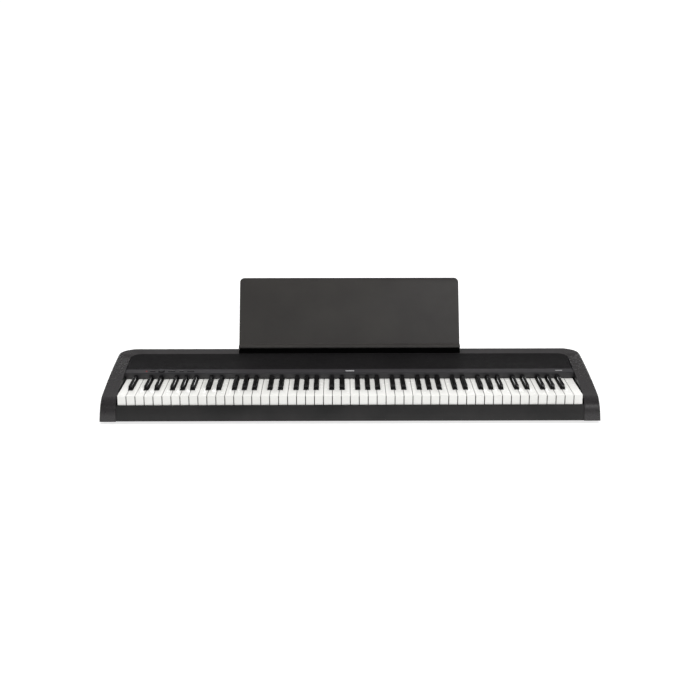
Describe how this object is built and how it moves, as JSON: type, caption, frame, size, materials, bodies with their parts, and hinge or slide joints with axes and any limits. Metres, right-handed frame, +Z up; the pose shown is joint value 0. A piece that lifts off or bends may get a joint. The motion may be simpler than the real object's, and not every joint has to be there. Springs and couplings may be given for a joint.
{
  "type": "portable digital piano",
  "caption": "Flat portable digital piano with a full-size hammer keyboard, slim end blocks, rear speaker grille, control strip and a lift-off music rest.",
  "frame": {"origin": "on the standing surface, under the middle of the whole object's box, the leaning music rest included", "axes": "+X towards the treble end, +Y towards the back, +Z up; the keys face -Y"},
  "size_m": [1.316, 0.4008, 0.3078],
  "materials": {
    "case_moulding": "fine satin texture",
    "panel_moulding": "fine satin texture",
    "grille_mesh": "dull, finely perforated",
    "rest_plate": "smooth satin",
    "white_key": "soft gloss",
    "black_key": "satin gloss",
    "control": "satin",
    "lamp": "clear red, lit",
    "badge": "pale print",
    "board": "solder mask",
    "socket": "dull",
    "chassis": "moulded frame",
    "steel": "drawn",
    "hammer": "coated weight",
    "felt": "pressed felt",
    "dome": "silicone",
    "speaker_metal": "pressed steel",
    "cone": "paper cone",
    "foot": "dull rubber",
    "brass": "turned"
  },
  "bodies": {
    "case": {"bottom_case": "case_moulding", "arm_left": "case_moulding", "arm_right": "case_moulding", "key_slip": "case_moulding", "rear_cover": "case_moulding", "control_panel": "panel_moulding", "speaker_grille": "grille_mesh", "blank_badges": "badge", "power_led": "lamp", "panel_board": "board", "main_board": "board", "dc_jack": "socket", "phones_jack": "socket", "pedal_jack": "socket", "key_frame": "chassis", "pivot_rods": "steel", "action_felts": "felt", "contact_board": "board", "contact_domes": "dome", "speaker_units": "speaker_metal", "speaker_cones": "cone", "feet": "foot", "case_screws": "steel", "stand_inserts": "brass"},
    "volume_knob": {"volume_knob": "control"},
    "power_button": {"power_button": "control"},
    "sound_button": {"sound_button": "control"},
    "tempo_button": {"tempo_button": "control"},
    "song_button": {"song_button": "control"},
    "music_rest": {"music_rest": "rest_plate"},
    "keys_bass": {"white_keys_bass": "white_key", "black_keys_bass": "black_key"},
    "hammers_bass": {"hammers_bass": "hammer"},
    "keys_treble": {"white_keys_treble": "white_key", "black_keys_treble": "black_key"},
    "hammers_treble": {"hammers_treble": "hammer"},
    "key_c4": {"key_c4": "white_key"},
    "hammer_c4": {"hammer_c4": "hammer"},
    "key_cs4": {"key_cs4": "black_key"},
    "hammer_cs4": {"hammer_cs4": "hammer"},
    "key_d4": {"key_d4": "white_key"},
    "hammer_d4": {"hammer_d4": "hammer"},
    "key_ds4": {"key_ds4": "black_key"},
    "hammer_ds4": {"hammer_ds4": "hammer"},
    "key_e4": {"key_e4": "white_key"},
    "hammer_e4": {"hammer_e4": "hammer"},
    "key_f4": {"key_f4": "white_key"},
    "hammer_f4": {"hammer_f4": "hammer"},
    "key_fs4": {"key_fs4": "black_key"},
    "hammer_fs4": {"hammer_fs4": "hammer"},
    "key_g4": {"key_g4": "white_key"},
    "hammer_g4": {"hammer_g4": "hammer"},
    "key_gs4": {"key_gs4": "black_key"},
    "hammer_gs4": {"hammer_gs4": "hammer"},
    "key_a4": {"key_a4": "white_key"},
    "hammer_a4": {"hammer_a4": "hammer"},
    "key_as4": {"key_as4": "black_key"},
    "hammer_as4": {"hammer_as4": "hammer"},
    "key_b4": {"key_b4": "white_key"},
    "hammer_b4": {"hammer_b4": "hammer"}
  },
  "joints": [
    {"name": "volume_turn", "type": "hinge", "parent": "case", "child": "volume_knob", "pos_m": [-0.516, -0.02238, 0.09307], "axis": [0, -0.1443, 0.9895], "range_deg": [-150, 150]},
    {"name": "power_press", "type": "slide", "parent": "case", "child": "power_button", "axis": [0, 0.1443, -0.9895], "range_m": [0, 0.001], "stiffness_N_per_m": 600, "springref_m": -0.0008},
    {"name": "sound_press", "type": "slide", "parent": "case", "child": "sound_button", "axis": [0, 0.1443, -0.9895], "range_m": [0, 0.001], "stiffness_N_per_m": 600, "springref_m": -0.0008},
    {"name": "tempo_press", "type": "slide", "parent": "case", "child": "tempo_button", "axis": [0, 0.1443, -0.9895], "range_m": [0, 0.001], "stiffness_N_per_m": 600, "springref_m": -0.0008},
    {"name": "song_press", "type": "slide", "parent": "case", "child": "song_button", "axis": [0, 0.1443, -0.9895], "range_m": [0, 0.001], "stiffness_N_per_m": 600, "springref_m": -0.0008},
    {"name": "rest_lift", "type": "slide", "parent": "case", "child": "music_rest", "axis": [0, 0, 1], "range_m": [0, 0.03]},
    {"name": "keys_bass_hinge", "type": "hinge", "parent": "case", "child": "keys_bass", "pos_m": [0, 0.01862, 0.064], "axis": [1, 0, 0], "range_deg": [0, 2.79]},
    {"name": "hammers_bass_hinge", "type": "hinge", "parent": "case", "child": "hammers_bass", "pos_m": [0, -0.07538, 0.033], "axis": [1, 0, 0], "range_deg": [0, 11.55]},
    {"name": "keys_treble_hinge", "type": "hinge", "parent": "case", "child": "keys_treble", "pos_m": [0, 0.01862, 0.064], "axis": [1, 0, 0], "range_deg": [0, 2.79]},
    {"name": "hammers_treble_hinge", "type": "hinge", "parent": "case", "child": "hammers_treble", "pos_m": [0, -0.07538, 0.033], "axis": [1, 0, 0], "range_deg": [0, 11.55]},
    {"name": "key_c4_hinge", "type": "hinge", "parent": "case", "child": "key_c4", "pos_m": [0, 0.01862, 0.064], "axis": [1, 0, 0], "range_deg": [0, 2.79]},
    {"name": "hammer_c4_hinge", "type": "hinge", "parent": "case", "child": "hammer_c4", "pos_m": [0, -0.07538, 0.033], "axis": [1, 0, 0], "range_deg": [0, 11.55]},
    {"name": "key_cs4_hinge", "type": "hinge", "parent": "case", "child": "key_cs4", "pos_m": [0, 0.01862, 0.064], "axis": [1, 0, 0], "range_deg": [0, 2.79]},
    {"name": "hammer_cs4_hinge", "type": "hinge", "parent": "case", "child": "hammer_cs4", "pos_m": [0, -0.07538, 0.033], "axis": [1, 0, 0], "range_deg": [0, 11.55]},
    {"name": "key_d4_hinge", "type": "hinge", "parent": "case", "child": "key_d4", "pos_m": [0, 0.01862, 0.064], "axis": [1, 0, 0], "range_deg": [0, 2.79]},
    {"name": "hammer_d4_hinge", "type": "hinge", "parent": "case", "child": "hammer_d4", "pos_m": [0, -0.07538, 0.033], "axis": [1, 0, 0], "range_deg": [0, 11.55]},
    {"name": "key_ds4_hinge", "type": "hinge", "parent": "case", "child": "key_ds4", "pos_m": [0, 0.01862, 0.064], "axis": [1, 0, 0], "range_deg": [0, 2.79]},
    {"name": "hammer_ds4_hinge", "type": "hinge", "parent": "case", "child": "hammer_ds4", "pos_m": [0, -0.07538, 0.033], "axis": [1, 0, 0], "range_deg": [0, 11.55]},
    {"name": "key_e4_hinge", "type": "hinge", "parent": "case", "child": "key_e4", "pos_m": [0, 0.01862, 0.064], "axis": [1, 0, 0], "range_deg": [0, 2.79]},
    {"name": "hammer_e4_hinge", "type": "hinge", "parent": "case", "child": "hammer_e4", "pos_m": [0, -0.07538, 0.033], "axis": [1, 0, 0], "range_deg": [0, 11.55]},
    {"name": "key_f4_hinge", "type": "hinge", "parent": "case", "child": "key_f4", "pos_m": [0, 0.01862, 0.064], "axis": [1, 0, 0], "range_deg": [0, 2.79]},
    {"name": "hammer_f4_hinge", "type": "hinge", "parent": "case", "child": "hammer_f4", "pos_m": [0, -0.07538, 0.033], "axis": [1, 0, 0], "range_deg": [0, 11.55]},
    {"name": "key_fs4_hinge", "type": "hinge", "parent": "case", "child": "key_fs4", "pos_m": [0, 0.01862, 0.064], "axis": [1, 0, 0], "range_deg": [0, 2.79]},
    {"name": "hammer_fs4_hinge", "type": "hinge", "parent": "case", "child": "hammer_fs4", "pos_m": [0, -0.07538, 0.033], "axis": [1, 0, 0], "range_deg": [0, 11.55]},
    {"name": "key_g4_hinge", "type": "hinge", "parent": "case", "child": "key_g4", "pos_m": [0, 0.01862, 0.064], "axis": [1, 0, 0], "range_deg": [0, 2.79]},
    {"name": "hammer_g4_hinge", "type": "hinge", "parent": "case", "child": "hammer_g4", "pos_m": [0, -0.07538, 0.033], "axis": [1, 0, 0], "range_deg": [0, 11.55]},
    {"name": "key_gs4_hinge", "type": "hinge", "parent": "case", "child": "key_gs4", "pos_m": [0, 0.01862, 0.064], "axis": [1, 0, 0], "range_deg": [0, 2.79]},
    {"name": "hammer_gs4_hinge", "type": "hinge", "parent": "case", "child": "hammer_gs4", "pos_m": [0, -0.07538, 0.033], "axis": [1, 0, 0], "range_deg": [0, 11.55]},
    {"name": "key_a4_hinge", "type": "hinge", "parent": "case", "child": "key_a4", "pos_m": [0, 0.01862, 0.064], "axis": [1, 0, 0], "range_deg": [0, 2.79]},
    {"name": "hammer_a4_hinge", "type": "hinge", "parent": "case", "child": "hammer_a4", "pos_m": [0, -0.07538, 0.033], "axis": [1, 0, 0], "range_deg": [0, 11.55]},
    {"name": "key_as4_hinge", "type": "hinge", "parent": "case", "child": "key_as4", "pos_m": [0, 0.01862, 0.064], "axis": [1, 0, 0], "range_deg": [0, 2.79]},
    {"name": "hammer_as4_hinge", "type": "hinge", "parent": "case", "child": "hammer_as4", "pos_m": [0, -0.07538, 0.033], "axis": [1, 0, 0], "range_deg": [0, 11.55]},
    {"name": "key_b4_hinge", "type": "hinge", "parent": "case", "child": "key_b4", "pos_m": [0, 0.01862, 0.064], "axis": [1, 0, 0], "range_deg": [0, 2.79]},
    {"name": "hammer_b4_hinge", "type": "hinge", "parent": "case", "child": "hammer_b4", "pos_m": [0, -0.07538, 0.033], "axis": [1, 0, 0], "range_deg": [0, 11.55]}
  ],
  "couplings": [
    {"joint": "hammers_bass_hinge", "follows": "keys_bass_hinge", "ratio": 4.1333},
    {"joint": "hammers_treble_hinge", "follows": "keys_treble_hinge", "ratio": 4.1333},
    {"joint": "hammer_c4_hinge", "follows": "key_c4_hinge", "ratio": 4.1333},
    {"joint": "hammer_cs4_hinge", "follows": "key_cs4_hinge", "ratio": 4.1333},
    {"joint": "hammer_d4_hinge", "follows": "key_d4_hinge", "ratio": 4.1333},
    {"joint": "hammer_ds4_hinge", "follows": "key_ds4_hinge", "ratio": 4.1333},
    {"joint": "hammer_e4_hinge", "follows": "key_e4_hinge", "ratio": 4.1333},
    {"joint": "hammer_f4_hinge", "follows": "key_f4_hinge", "ratio": 4.1333},
    {"joint": "hammer_fs4_hinge", "follows": "key_fs4_hinge", "ratio": 4.1333},
    {"joint": "hammer_g4_hinge", "follows": "key_g4_hinge", "ratio": 4.1333},
    {"joint": "hammer_gs4_hinge", "follows": "key_gs4_hinge", "ratio": 4.1333},
    {"joint": "hammer_a4_hinge", "follows": "key_a4_hinge", "ratio": 4.1333},
    {"joint": "hammer_as4_hinge", "follows": "key_as4_hinge", "ratio": 4.1333},
    {"joint": "hammer_b4_hinge", "follows": "key_b4_hinge", "ratio": 4.1333}
  ]
}
